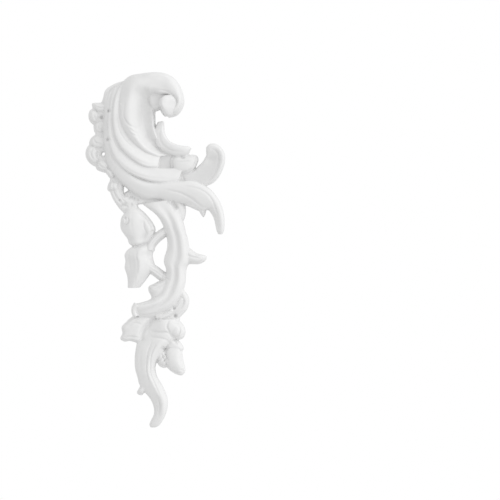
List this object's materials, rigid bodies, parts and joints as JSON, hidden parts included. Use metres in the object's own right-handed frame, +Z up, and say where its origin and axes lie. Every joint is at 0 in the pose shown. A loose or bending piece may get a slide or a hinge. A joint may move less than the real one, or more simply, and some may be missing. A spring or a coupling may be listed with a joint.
{
  "type": "scroll onlay",
  "caption": "Tall narrow carved relief: an acanthus scroll with a rolled volute at the top, hanging buds and a tapering leaf tail, on a flat back.",
  "frame": {"origin": "on the flat back, behind the body of the great scroll, where the onlay is fixed", "axes": "+Y out of the flat back towards the surface it is fixed to, -Y towards the room, +Z up from the tail to the volute, +X to the right seen from the front"},
  "size_m": [0.1409, 0.0309, 0.3578],
  "materials": {
    "white_primer": "white primed, satin matte"
  },
  "bodies": {
    "root": {"scroll_onlay": "white_primer"}
  },
  "joints": []
}
